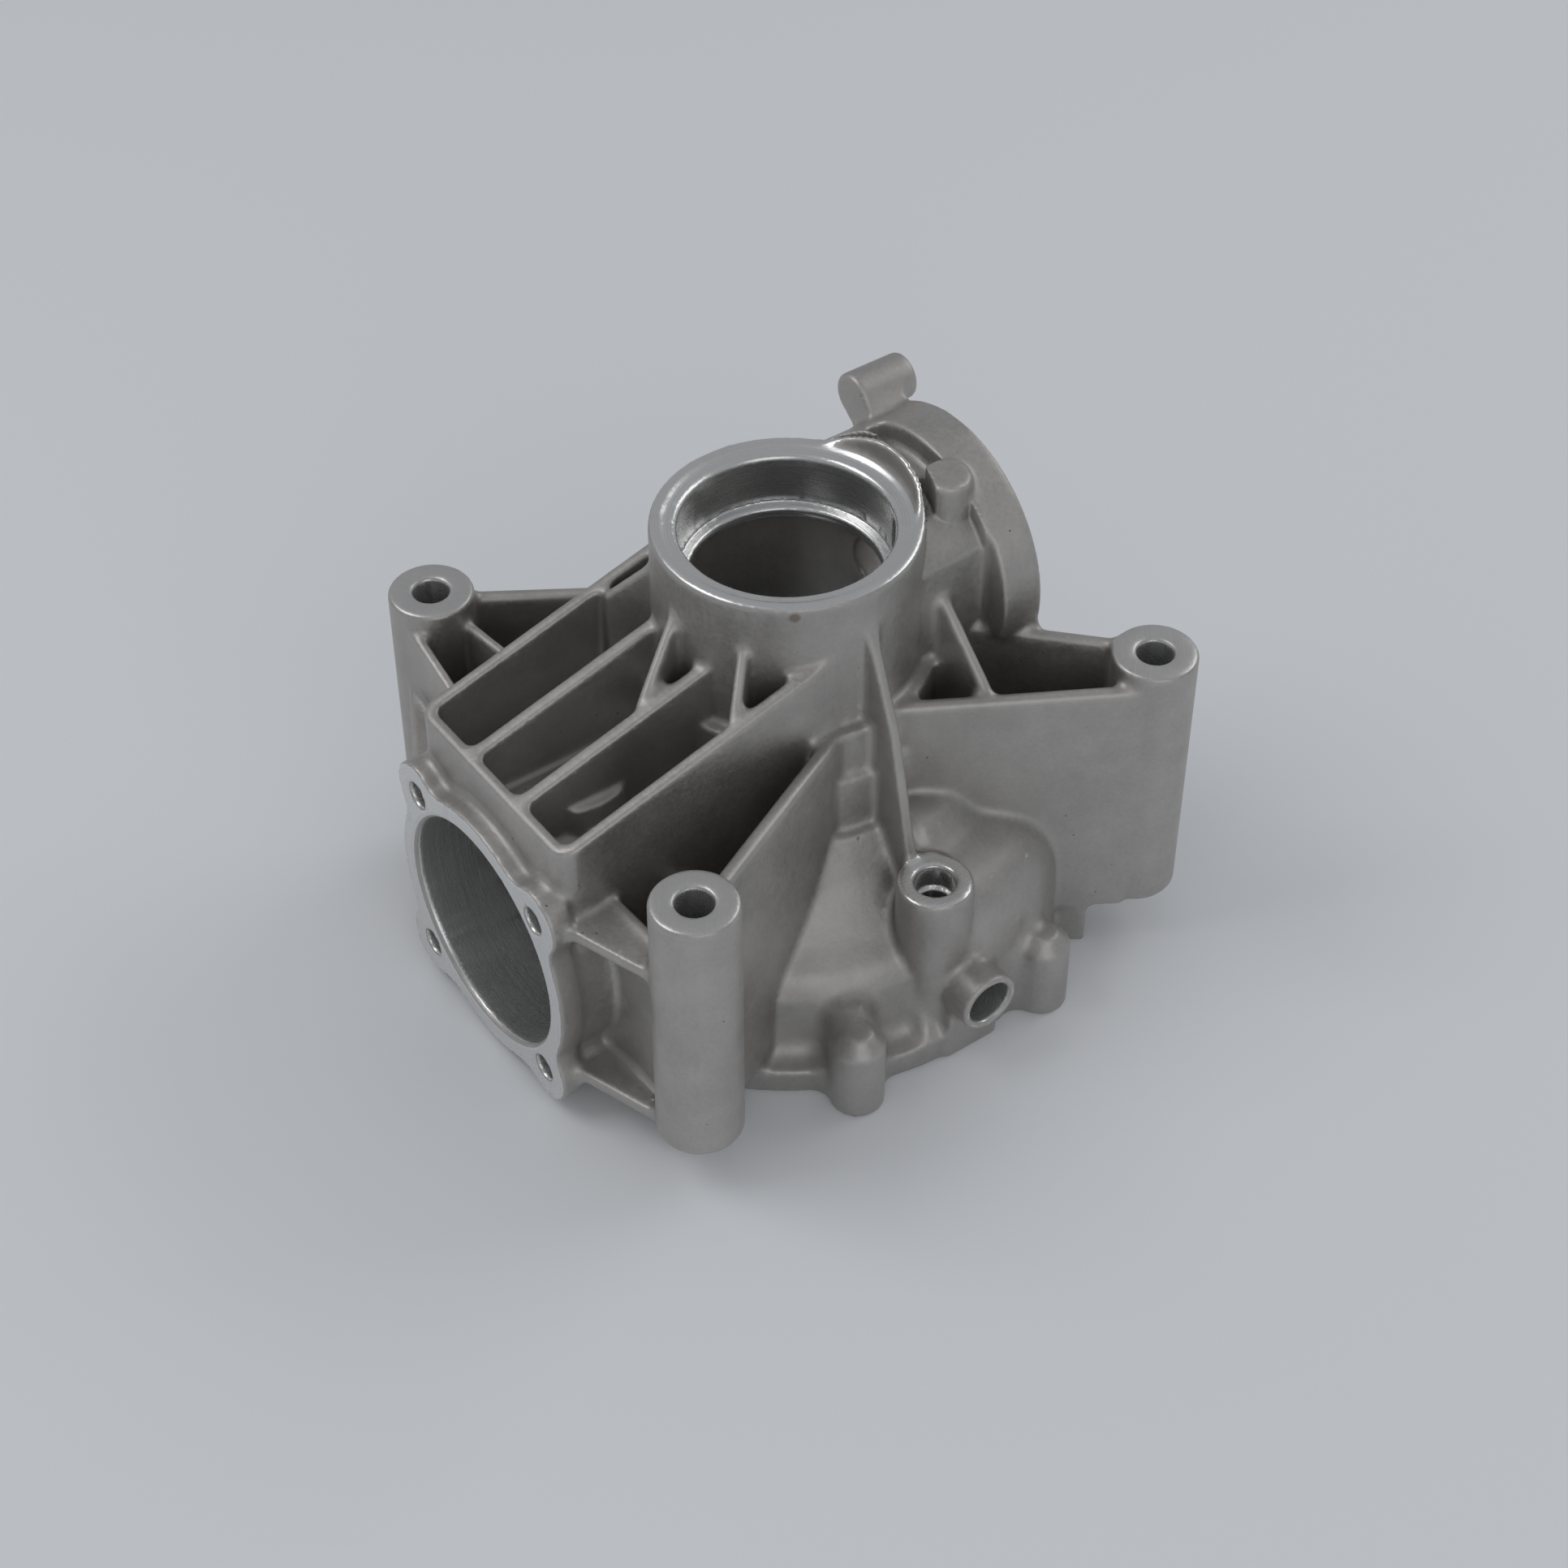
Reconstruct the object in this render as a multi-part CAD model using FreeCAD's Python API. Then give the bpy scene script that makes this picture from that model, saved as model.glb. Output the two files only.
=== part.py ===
import FreeCAD, Part
import math
import os

# Die cast aluminium housing of a small right-angle bevel gearbox.
# Millimetres.  Heights below are taken from the pinion axis, which runs along
# Y and crosses the upright crown wheel axis.  The finished part is lifted so
# that its open cover face stands on the level plane z = 0.

Vector = FreeCAD.Vector

# ---------------------------------------------------------------- collar
COLLAR_TOP = 84.9
COLLAR_R = 32.9
BEARING_R = 26.0
BEARING_DEPTH = 15.0
SHOULDER_R = 23.4
SHOULDER_DEPTH = 3.4
COLLAR_STEP_R = 30.2
COLLAR_STEP = 1.0
THROAT_R = 27.5
OIL_GROOVE_W = 3.0
OIL_GROOVE_CUT = 1.4
OIL_GROOVE_AT = 63.0

# ---------------------------------------------------------------- chamber
STEP_R1 = 36.6
STEP_Z1 = 46.7
STEP_R2 = 38.6
STEP_Z2 = 33.3
BELL_TOP = 17.2
BELL_R = 64.6
BELL_EDGE_Z = -13.0
COVER_Z = -38.0
RIM_R = 72.0
RIM_T = 7.4
CHAMBER_R = 59.6
HIGH_BELL_FROM = 6.0
HIGH_BELL_SWEEP = 52.0
HIGH_BELL_RAMP = 9.0
HIGH_BELL_INNER = 20.0

# Corners of the two bell profiles, as radius and height.
BELL_SHOULDER = [(58.0, -5.6), (48.4, 3.6)]
HIGH_BELL_CROWN = [
    (71.0, -6.8),
    (68.0, 1.6),
    (62.6, 7.6),
    (52.6, 11.6),
    (46.0, 18.6),
]

# ---------------------------------------------------------------- cover bolts
LOBES = 8
LOBE_PCR = 75.5
LOBE_R = 6.8
LOBE_TOP = -13.7
LOBE_BLEND = 5.0
LOBE_INSET = 9.0
LOBE_STEP = 1.2
COVER_HOLE_R = 2.5
COVER_HOLE_DEPTH = 14.0

# ---------------------------------------------------------------- pinion tube
FLANGE_Y = -91.65
FLANGE_T = 6.0
FLANGE_R = 36.0
FLANGE_HOLE_X = 25.9
FLANGE_HOLE_Z = 25.7
FLANGE_LOBE_R = 9.0
FLANGE_BLEND = 7.0
FLANGE_HOLE_R = 3.4
FLANGE_HOLE_DEPTH = 18.0
NECK_STEP = 1.8
NECK_T = 6.5
TUBE_R = 35.0
TUBE_BORE_R = 30.2
TUBE_BORE_DEPTH = 38.0
TUBE_INNER_R = 27.5

# ---------------------------------------------------------------- ribbed deck
DECK_HALF = 32.0
DECK_WALL = 3.4
DECK_Y = -86.3
DECK_Z = 46.8
DECK_SLOPE = 0.285
DECK_CORNER = 5.5
DECK_RIB = 3.8
DECK_RIB_X = 10.3
POCKET_CORNER = 1.6

# ---------------------------------------------------------------- posts
POST_R = 10.7
POST_TOP = 51.1
POST_LOW = -26.4
POST_EDGE = 2.6
POST_HOLE_R = 4.5
POST_F = (63.3, -71.0)
POST_L = (-63.3, -62.8)
POST_R_AT = (59.1, 67.5)
WEB_T = 3.6
WEB_FOOT = 4.6
WEB_BEVEL = 0.28
WEB_TOP = 46.5
FAR_WEB_TOP = 50.0
GUSSET_HIGH = 27.5
GUSSET_LOW = -22.0
GUSSET_T = 3.4

# ---------------------------------------------------------------- rear drum
DRUM_Z = 57.6
DRUM_R = 34.6
DRUM_BODY_R = 33.4
DRUM_Y = 51.8
DRUM_FACE_T = 7.6
DRUM_FLANGE_Y = 41.0
DRUM_SIDE = 25.0
DRUM_BORE_R = 28.0
DRUM_BORE_DEPTH = 10.0
DRUM_WINDOW_R = 8.0
DRUM_FROM = 8.0
DRUM_SLOT_X = -15.5
DRUM_SLOT_Y = 34.4
DRUM_SLOT_W = 23.0
DRUM_SLOT_WALL = 1.2
DRUM_SLOT_DEPTH = 6.0
STUB_R = 6.0
STUB_X = -28.6
STUB_Z = 86.2
STUB_Y0 = 40.0
STUB_Y1 = 57.0
STUB_BEVEL = 0.8
VENT_R = 6.0
VENT_X = 14.0
VENT_Y = 37.0
VENT_TOP = 90.5

# ---------------------------------------------------------------- side bosses
PLUG_X = 60.5
PLUG_Y = 0.5
PLUG_R = 9.5
PLUG_TOP = 13.0
PLUG_HOLE_R = 5.1
PLUG_HOLE_DEPTH = 7.0
PLUG_SEAT_R = 4.0
PORT_Y = 4.8
PORT_Z = -17.5
PORT_R = 8.0
PORT_X = 79.0
PORT_HOLE_R = 5.9
PORT_PAD = 7.6
PORT_LIP = 6.0
PORT_FROM = 53.0


def at(x, y, z):
    return Vector(x, y, z)


def polygon(points):
    return Part.Face(Part.makePolygon(points + [points[0]]))


def arc_through(a, b, c):
    return Part.Arc(a, b, c).toShape()


def rounded_outline(corners, radius, z):
    """Closed outline in a level plane with every corner rounded."""
    edges = []
    count = len(corners)
    starts = []
    ends = []
    mids = []
    for i in range(count):
        here = at(corners[i][0], corners[i][1], z)
        before = at(corners[i - 1][0], corners[i - 1][1], z)
        after = at(corners[(i + 1) % count][0], corners[(i + 1) % count][1], z)
        to_before = (before - here).normalize()
        to_after = (after - here).normalize()
        half = to_before.getAngle(to_after) / 2
        reach = radius / math.tan(half)
        middle = (to_before + to_after).normalize()
        centre = here + middle * (radius / math.sin(half))
        starts.append(here + to_before * reach)
        ends.append(here + to_after * reach)
        mids.append(centre - middle * radius)
    for i in range(count):
        edges.append(arc_through(starts[i], mids[i], ends[i]))
        edges.append(Part.makeLine(ends[i], starts[(i + 1) % count]))
    return Part.Wire(edges)


def rectangle(x0, y0, x1, y1):
    return [(x0, y0), (x1, y0), (x1, y1), (x0, y1)]


def lobed_face(body_r, lobe_at, lobe_r, blend, angles):
    """Round face with a lobe at each angle, joined by hollow blends."""
    inner = body_r + blend
    outer = lobe_r + blend
    swing = math.acos((lobe_at ** 2 + inner ** 2 - outer ** 2) / (2 * lobe_at * inner))

    def ray(angle, length):
        return at(length * math.cos(angle), length * math.sin(angle), 0)

    edges = []
    count = len(angles)
    for i in range(count):
        angle = angles[i]
        lobe = ray(angle, lobe_at)
        joins = []
        for side in (-1, 1):
            centre = ray(angle + side * swing, inner)
            on_body = ray(angle + side * swing, body_r)
            to_lobe = (lobe - centre).normalize()
            on_lobe = centre + to_lobe * blend
            middle = (on_body - centre).normalize() + to_lobe
            waist = centre + middle.normalize() * blend
            joins.append((on_body, waist, on_lobe))
        tip = lobe + ray(angle, lobe_r)
        edges.append(arc_through(joins[0][0], joins[0][1], joins[0][2]))
        edges.append(arc_through(joins[0][2], tip, joins[1][2]))
        edges.append(arc_through(joins[1][2], joins[1][1], joins[1][0]))
        following = angles[(i + 1) % count]
        if i == count - 1:
            following = following + 2 * math.pi
        far = ray(following - swing, body_r)
        half_way = ray((angle + following) / 2, body_r)
        edges.append(arc_through(joins[1][0], half_way, far))
    return Part.Face(Part.Wire(edges))


def turned(profile):
    """Solid of revolution about Z from (radius, height) corners."""
    points = [at(r, 0, z) for r, z in profile]
    return polygon(points).revolve(at(0, 0, 0), at(0, 0, 1), 360)


def cylinder_z(x, y, z_low, z_high, radius):
    return Part.makeCylinder(radius, z_high - z_low, at(x, y, z_low), at(0, 0, 1))


def cylinder_y(x, z, y_low, y_high, radius):
    return Part.makeCylinder(radius, y_high - y_low, at(x, y_low, z), at(0, 1, 0))


def web_section(x, y, across, z_low, z_high, foot, top):
    """Upright rib section with draft and a bevelled crest."""
    bevel = top * WEB_BEVEL
    outline = [
        (-foot / 2, z_low),
        (foot / 2, z_low),
        (top / 2, z_high - bevel),
        (top / 2 - bevel, z_high),
        (bevel - top / 2, z_high),
        (-top / 2, z_high - bevel),
    ]
    points = [at(x, y, z) + across * aside for aside, z in outline]
    return Part.makePolygon(points + [points[0]])


def web(start, finish, low_start, top_start, low_finish, top_finish, foot=WEB_FOOT, top=WEB_T):
    """Upright rib from one plan point to another."""
    along = (at(finish[0], finish[1], 0) - at(start[0], start[1], 0)).normalize()
    across = at(-along.y, along.x, 0)
    first = web_section(start[0], start[1], across, low_start, top_start, foot, top)
    last = web_section(finish[0], finish[1], across, low_finish, top_finish, foot, top)
    return Part.makeLoft([first, last], True, True)


def shelf(corners, z_low, z_high):
    """Level gusset plate from plan corners."""
    points = [at(x, y, z_low) for x, y in corners]
    return polygon(points).extrude(at(0, 0, z_high - z_low))


# ------------------------------------------------------------------ cast body
def collar_and_bell():
    """Collar, stepped chamber wall, bell and cover rim in one turning."""
    profile = [
        at(0, 0, COVER_Z),
        at(RIM_R, 0, COVER_Z),
        at(RIM_R, 0, COVER_Z + RIM_T),
        at(BELL_R, 0, COVER_Z + RIM_T),
        at(BELL_R, 0, BELL_EDGE_Z),
    ]
    profile += [at(r, 0, z) for r, z in BELL_SHOULDER]
    profile += [
        at(STEP_R2 + 2.6, 0, BELL_TOP),
        at(STEP_R2, 0, BELL_TOP),
        at(STEP_R2, 0, STEP_Z2),
        at(STEP_R1, 0, STEP_Z2),
        at(STEP_R1, 0, STEP_Z1),
        at(COLLAR_R, 0, STEP_Z1),
        at(COLLAR_R, 0, COLLAR_TOP),
        at(0, 0, COLLAR_TOP),
    ]
    return polygon(profile).revolve(at(0, 0, 0), at(0, 0, 1), 360)


def high_bell():
    """Taller part of the bell that clears the crown wheel teeth."""
    outline = [at(r, 0, z) for r, z in HIGH_BELL_CROWN]
    outline += [at(HIGH_BELL_INNER, 0, HIGH_BELL_CROWN[-1][1]), at(HIGH_BELL_INNER, 0, COVER_Z)]
    outline += [at(HIGH_BELL_CROWN[0][0], 0, COVER_Z)]
    face = polygon(outline)
    face.rotate(at(0, 0, 0), at(0, 0, 1), HIGH_BELL_FROM)
    solid = face.revolve(at(0, 0, 0), at(0, 0, 1), HIGH_BELL_SWEEP)
    ramp = polygon([
        at(HIGH_BELL_INNER, -1, -16),
        at(HIGH_BELL_INNER, 0, -16),
        at(HIGH_BELL_INNER, HIGH_BELL_RAMP, 16),
        at(HIGH_BELL_INNER, HIGH_BELL_RAMP + 6, 21),
        at(HIGH_BELL_INNER, HIGH_BELL_RAMP + 6, 40),
        at(HIGH_BELL_INNER, -1, 40),
    ]).extrude(at(RIM_R, 0, 0))
    ramp.rotate(at(0, 0, 0), at(0, 0, 1), HIGH_BELL_FROM)
    return solid.cut(ramp)


def lobe_angles():
    return [math.pi * (2 * i + 1) / LOBES for i in range(LOBES)]


def domed_pin(x, y, radius, top):
    """Round boss from the cover face up to a low dome."""
    pin = turned([
        (0, COVER_Z),
        (radius, COVER_Z),
        (radius, top - radius * 0.6),
        (radius * 0.5, top),
        (0, top),
    ])
    pin.translate(at(x, y, 0))
    return pin


def cover_lobes():
    """Rim flange with domed screw lobes standing on it."""
    plate = lobed_face(RIM_R, LOBE_PCR, LOBE_R, LOBE_BLEND, lobe_angles())
    plate.translate(at(0, 0, COVER_Z))
    parts = [plate.extrude(at(0, 0, RIM_T))]
    for angle in lobe_angles():
        x = LOBE_PCR * math.cos(angle)
        y = LOBE_PCR * math.sin(angle)
        inner_x = (LOBE_PCR - LOBE_INSET) * math.cos(angle)
        inner_y = (LOBE_PCR - LOBE_INSET) * math.sin(angle)
        parts.append(domed_pin(x, y, LOBE_R, LOBE_TOP))
        parts.append(domed_pin(inner_x, inner_y, LOBE_R - LOBE_STEP, LOBE_TOP + LOBE_STEP))
    return parts


def pinion_tube():
    """Tube, its lobed front flange and the stepped neck behind the flange."""
    hole_at = math.hypot(FLANGE_HOLE_X, FLANGE_HOLE_Z)
    tilt = math.atan2(FLANGE_HOLE_Z, FLANGE_HOLE_X)
    angles = [tilt, math.pi - tilt, math.pi + tilt, 2 * math.pi - tilt]
    face = lobed_face(FLANGE_R, hole_at, FLANGE_LOBE_R, FLANGE_BLEND, angles)
    neck = lobed_face(FLANGE_R - NECK_STEP, hole_at, FLANGE_LOBE_R - NECK_STEP, FLANGE_BLEND + NECK_STEP, angles)
    for shape in (face, neck):
        shape.rotate(at(0, 0, 0), at(1, 0, 0), 90)
        shape.translate(at(0, FLANGE_Y, 0))
    tube = cylinder_y(0, 0, FLANGE_Y, -20, TUBE_R)
    return [
        face.extrude(at(0, FLANGE_T, 0)),
        neck.extrude(at(0, FLANGE_T + NECK_T, 0)),
        tube,
    ]


def ribbed_deck():
    """Open frame over the tube: four walls and two long ribs."""
    back = 0
    outer = rounded_outline(
        rectangle(-DECK_HALF, DECK_Y, DECK_HALF, back + DECK_CORNER), DECK_CORNER, 0)
    block = Part.Face(outer).extrude(at(0, 0, 80))
    high = 90
    rise = DECK_Z - DECK_SLOPE * (DECK_Y + 100)
    cap = polygon([
        at(-60, -100, rise),
        at(-60, -100, rise + high),
        at(-60, 20, rise + high),
        at(-60, 20, rise + DECK_SLOPE * 120),
    ]).extrude(at(120, 0, 0))
    block = block.cut(cap)
    inner = DECK_HALF - DECK_WALL
    half_rib = DECK_RIB / 2
    spans = [
        (-inner, -DECK_RIB_X - half_rib),
        (-DECK_RIB_X + half_rib, DECK_RIB_X - half_rib),
        (DECK_RIB_X + half_rib, inner),
    ]
    front = DECK_Y + DECK_WALL
    for x0, x1 in spans:
        pocket = rounded_outline(rectangle(x0, front, x1, back - 2), POCKET_CORNER, -1)
        block = block.cut(Part.Face(pocket).extrude(at(0, 0, 2 * DECK_Z)))
    return block


def deck_gussets():
    """Small upright ribs between the collar and the deck."""
    return [
        web((8.0, -48.0), (-0.5, -31.0), 20, 57.6, 20, 75.0, 3.4, 2.8),
        web((28.5, -35.5), (17.0, -24.0), 20, 61.6, 20, 75.6, 3.4, 2.8),
        web((-26.5, -35.0), (-16.0, -24.0), 20, 61.4, 20, 75.6, 3.4, 2.8),
    ]


def post(x, y):
    """Mounting post with a bevelled foot."""
    shape = turned([
        (0, POST_LOW),
        (POST_R - POST_EDGE, POST_LOW),
        (POST_R, POST_LOW + POST_EDGE),
        (POST_R, POST_TOP),
        (0, POST_TOP),
    ])
    shape.translate(at(x, y, 0))
    return shape


def front_right_webs():
    """Deep web to the bell, inner webs to the deck and two level gussets."""
    x, y = POST_F
    return [
        web((x - 3.2, y + 6.0), (34.0, -11.0), POST_LOW, WEB_TOP, -36.5, WEB_TOP, 5.2, 4.0),
        web((x - 7.0, y + 4.0), (30.0, -52.0), POST_LOW + 2, 24.0, -24.0, 24.0, 4.0, 2.8),
        web((x - 6.0, y - 1.6), (30.0, y - 2.6), POST_LOW + 3, GUSSET_HIGH + 0.8, -24.0, GUSSET_HIGH + 0.8, 3.6, 2.8),
        shelf([(34.4, -87.4), (x - 6.2, y - 8.8), (x - 4.0, y - 2.0), (30.0, y - 2.0)], GUSSET_HIGH - GUSSET_T, GUSSET_HIGH),
        shelf([(33.4, -87.4), (x - 6.8, y - 8.6), (x - 4.0, y - 2.0), (28.0, y - 2.0)], GUSSET_LOW - GUSSET_T, GUSSET_LOW),
    ]


def front_left_webs():
    """Webs of the left post, laid out like those of its right-hand twin."""
    x, y = POST_L
    return [
        web((x + 1.0, y + 8.0), (-36.0, -14.0), POST_LOW, WEB_TOP, -36.0, WEB_TOP, 5.2, 4.0),
        web((x + 6.0, y + 4.0), (-30.0, -56.5), POST_LOW + 2, 45.0, -24.0, 46.0, 4.0, 2.8),
        web((x + 4.0, y - 8.6), (-30.0, -73.5), POST_LOW + 3, 47.0, -24.0, 41.0, 3.6, 2.8),
        shelf([(-34.4, -87.4), (x + 2.2, y - 9.8), (x + 4.0, y - 2.0), (-30.0, y - 6.0)], GUSSET_HIGH - GUSSET_T, GUSSET_HIGH),
        shelf([(-33.4, -87.4), (x + 2.8, y - 9.6), (x + 4.0, y - 2.0), (-28.0, y - 6.0)], GUSSET_LOW - GUSSET_T, GUSSET_LOW),
    ]


def rear_webs():
    """Two webs spread from the rear post and the sloping gusset between them."""
    x, y = POST_R_AT
    return [
        shelf([(54.6, 42.0), (61.8, 50.6), (57.5, 52.5), (50.0, 46.0)], COVER_Z, -18.0),
        web((x + 4.6, y - 8.0), (35.0, 9.6), POST_LOW + 0.6, WEB_TOP + 0.5, -22.0, WEB_TOP + 0.5, 5.2, 4.0),
        web((x - 2.3, y + 2.4), (16.0, 31.4), -18.0, FAR_WEB_TOP, -18.0, FAR_WEB_TOP, 5.2, 3.8),
        web((17.0, 28.2), (44.2, 28.2), -10.0, 73.1, -10.0, 47.5, 4.4, 3.2),
    ]


def side_fin():
    """Thin fin running down from the collar to the plug boss."""
    outline = [
        at(28, 0, 76.4),
        at(32.6, 0, 76.4),
        at(43.6, 0, 48.4),
        at(51.8, 0, PLUG_TOP),
        at(51.8, 0, -10),
        at(28, 0, -10),
    ]
    fin = polygon(outline).extrude(at(0, 3.2, 0))
    fin.translate(at(0, PLUG_Y - 1.6, 0))
    return fin


def rear_drum():
    """Cup-shaped rear housing joined to the back of the collar."""
    body = cylinder_y(0, DRUM_Z, DRUM_FROM, DRUM_FLANGE_Y + 1, DRUM_BODY_R)
    low = at(-DRUM_SIDE, DRUM_FROM, DRUM_Z - DRUM_BODY_R)
    body = body.common(Part.makeBox(2 * DRUM_SIDE, DRUM_Y, 2 * DRUM_BODY_R, low))
    body = body.cut(cylinder_z(0, 0, 0, COLLAR_TOP + DRUM_R, COLLAR_R - 1.5))
    slot = cylinder_y(0, DRUM_Z, DRUM_SLOT_Y, DRUM_FLANGE_Y - DRUM_SLOT_WALL, DRUM_BODY_R + 3)
    slot = slot.cut(cylinder_y(0, DRUM_Z, DRUM_SLOT_Y - 1, DRUM_FLANGE_Y, DRUM_BODY_R - DRUM_SLOT_DEPTH))
    low = at(DRUM_SLOT_X, DRUM_SLOT_Y - 1, DRUM_Z + DRUM_BODY_R / 2)
    body = body.cut(slot.common(Part.makeBox(DRUM_SLOT_W, DRUM_FLANGE_Y, DRUM_R, low)))
    rim = cylinder_y(0, DRUM_Z, DRUM_FLANGE_Y, DRUM_Y, DRUM_BODY_R)
    face = Part.makeCone(DRUM_BODY_R, DRUM_R, DRUM_FACE_T, at(0, DRUM_Y - DRUM_FACE_T, DRUM_Z), at(0, 1, 0))
    leg = polygon([
        at(-DRUM_SIDE, 20, -20),
        at(DRUM_SIDE - 4, 20, -20),
        at(DRUM_SIDE, 20, DRUM_Z),
        at(-DRUM_SIDE, 20, DRUM_Z),
    ]).extrude(at(0, DRUM_FLANGE_Y + 4 - 20, 0))
    clear = Part.Face(Part.makePolygon([
        at(DRUM_SIDE - 3, 20, 0),
        at(60, 20, 0),
        at(60, 72.9, 0),
        at(DRUM_SIDE - 3, 37.1, 0),
        at(DRUM_SIDE - 3, 20, 0),
    ])).extrude(at(0, 0, FAR_WEB_TOP - 1))
    vent = cylinder_z(VENT_X, VENT_Y, DRUM_Z + 10, VENT_TOP, VENT_R)
    return [body, rim.fuse(face).cut(clear), leg, vent]


def locating_stub():
    """Solid round stub carried on the drum by a short web."""
    stub = turned([
        (0, STUB_Y0),
        (STUB_R, STUB_Y0),
        (STUB_R, STUB_Y1 - STUB_BEVEL),
        (STUB_R - STUB_BEVEL, STUB_Y1),
        (0, STUB_Y1),
    ])
    stub.rotate(at(0, 0, 0), at(1, 0, 0), -90)
    stub.translate(at(STUB_X, 0, STUB_Z))
    spread = math.atan2(STUB_Z - DRUM_Z, STUB_X)
    inward = at(-math.cos(spread), 0, -math.sin(spread))
    side = at(-inward.z, 0, inward.x) * (STUB_R - 0.4)
    centre = at(STUB_X, STUB_Y0 + 0.2, STUB_Z)
    foot = centre + inward * 14
    carrier = polygon([centre + side, foot + side, foot - side, centre - side])
    return [stub, carrier.extrude(at(0, DRUM_Y - STUB_Y0 - 0.6, 0))]


def plug_boss():
    return [cylinder_z(PLUG_X, PLUG_Y, COVER_Z + 4, PLUG_TOP, PLUG_R)]


def port_boss():
    """Level port on the bell side with a square pad down to the rim."""
    boss = Part.makeCylinder(PORT_R, PORT_X - 50, at(50, PORT_Y, PORT_Z), at(1, 0, 0))
    pad = Part.makeBox(PORT_X - PORT_LIP - 50, 2 * PORT_PAD, PORT_Z - COVER_Z, at(50, PORT_Y - PORT_PAD, COVER_Z))
    return [boss, pad]


def oval_boss():
    """Low oval boss on the tube inside the right-hand deck pocket."""
    low = cylinder_z(20.5, -66.0, 10, 33.5, 5.0)
    far = cylinder_z(20.5, -58.0, 10, 33.5, 5.0)
    join = Part.makeBox(10, 8, 23.5, at(15.5, -66.0, 10))
    return [low.fuse([far, join])]


def cast_shape():
    pieces = [collar_and_bell(), high_bell()]
    pieces += cover_lobes()
    pieces += pinion_tube()
    pieces += [ribbed_deck()]
    pieces += deck_gussets()
    pieces += [post(*POST_F), post(*POST_L), post(*POST_R_AT)]
    pieces += front_right_webs()
    pieces += front_left_webs()
    pieces += rear_webs()
    pieces += [side_fin()]
    pieces += rear_drum()
    pieces += locating_stub()
    pieces += plug_boss()
    pieces += port_boss()
    pieces += oval_boss()
    return pieces[0].multiFuse(pieces[1:])


# ------------------------------------------------------------------ machining
def bearing_bores():
    """Collar seat, shoulder, throat and the open crown wheel chamber."""
    seat_z = COLLAR_TOP - BEARING_DEPTH
    shoulder_z = seat_z - SHOULDER_DEPTH
    cut = turned([
        (0, COLLAR_TOP + 1),
        (COLLAR_STEP_R, COLLAR_TOP + 1),
        (COLLAR_STEP_R, COLLAR_TOP - COLLAR_STEP),
        (BEARING_R + 0.8, COLLAR_TOP - COLLAR_STEP),
        (BEARING_R, COLLAR_TOP - COLLAR_STEP - 0.8),
        (BEARING_R, seat_z),
        (SHOULDER_R, seat_z),
        (SHOULDER_R, shoulder_z),
        (THROAT_R, shoulder_z),
        (THROAT_R, BELL_TOP + 11),
        (36.2, BELL_TOP - 4.8),
        (CHAMBER_R, BELL_EDGE_Z - 1.5),
        (CHAMBER_R, COVER_Z - 1),
        (0, COVER_Z - 1),
    ])
    groove = Part.makeBox(OIL_GROOVE_CUT + 4, OIL_GROOVE_W, BEARING_DEPTH - 2.6, at(BEARING_R - 4, -OIL_GROOVE_W / 2, seat_z))
    groove.rotate(at(0, 0, 0), at(0, 0, 1), OIL_GROOVE_AT)
    return [cut, groove]


def tube_bores():
    mouth = cylinder_y(0, 0, FLANGE_Y - 1, FLANGE_Y + TUBE_BORE_DEPTH, TUBE_BORE_R)
    lead = Part.makeCone(TUBE_BORE_R + 1.0, TUBE_BORE_R, 1.0, at(0, FLANGE_Y, 0), at(0, 1, 0))
    inner = cylinder_y(0, 0, FLANGE_Y, 0, TUBE_INNER_R)
    return [mouth, lead, inner]


def drum_bores():
    mouth = cylinder_y(0, DRUM_Z, DRUM_Y - DRUM_BORE_DEPTH, DRUM_Y + 1, DRUM_BORE_R)
    passage = cylinder_y(0, DRUM_Z, 5, DRUM_Y, DRUM_WINDOW_R)
    return [mouth, passage]


def post_holes():
    cuts = []
    for x, y in (POST_F, POST_L, POST_R_AT):
        cuts.append(cylinder_z(x, y, POST_LOW - 1, POST_TOP + 1, POST_HOLE_R))
    return cuts


def flange_holes():
    cuts = []
    for sx in (-1, 1):
        for sz in (-1, 1):
            x = sx * FLANGE_HOLE_X
            z = sz * FLANGE_HOLE_Z
            cuts.append(cylinder_y(x, z, FLANGE_Y - 1, FLANGE_Y + FLANGE_HOLE_DEPTH, FLANGE_HOLE_R))
    return cuts


def cover_holes():
    cuts = []
    for angle in lobe_angles():
        x = LOBE_PCR * math.cos(angle)
        y = LOBE_PCR * math.sin(angle)
        cuts.append(cylinder_z(x, y, COVER_Z - 1, COVER_Z + COVER_HOLE_DEPTH, COVER_HOLE_R))
    return cuts


def side_holes():
    cuts = [cylinder_z(PLUG_X, PLUG_Y, PLUG_TOP - PLUG_HOLE_DEPTH, PLUG_TOP + 1, PLUG_HOLE_R)]
    cuts.append(cylinder_z(PLUG_X, PLUG_Y, COVER_Z + RIM_T, PLUG_TOP, PLUG_SEAT_R))
    cuts.append(Part.makeCylinder(PORT_HOLE_R, PORT_X, at(PORT_FROM, PORT_Y, PORT_Z), at(1, 0, 0)))
    return cuts


def housing():
    cuts = bearing_bores() + tube_bores() + drum_bores()
    cuts += post_holes() + flange_holes() + cover_holes() + side_holes()
    shape = cast_shape().cut(cuts).removeSplitter()
    shape.translate(at(0, 0, -COVER_Z))
    return shape


os.makedirs("parts", exist_ok=True)
shape = housing()
shape.exportStep("parts/housing.step")
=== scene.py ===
import math

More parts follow.
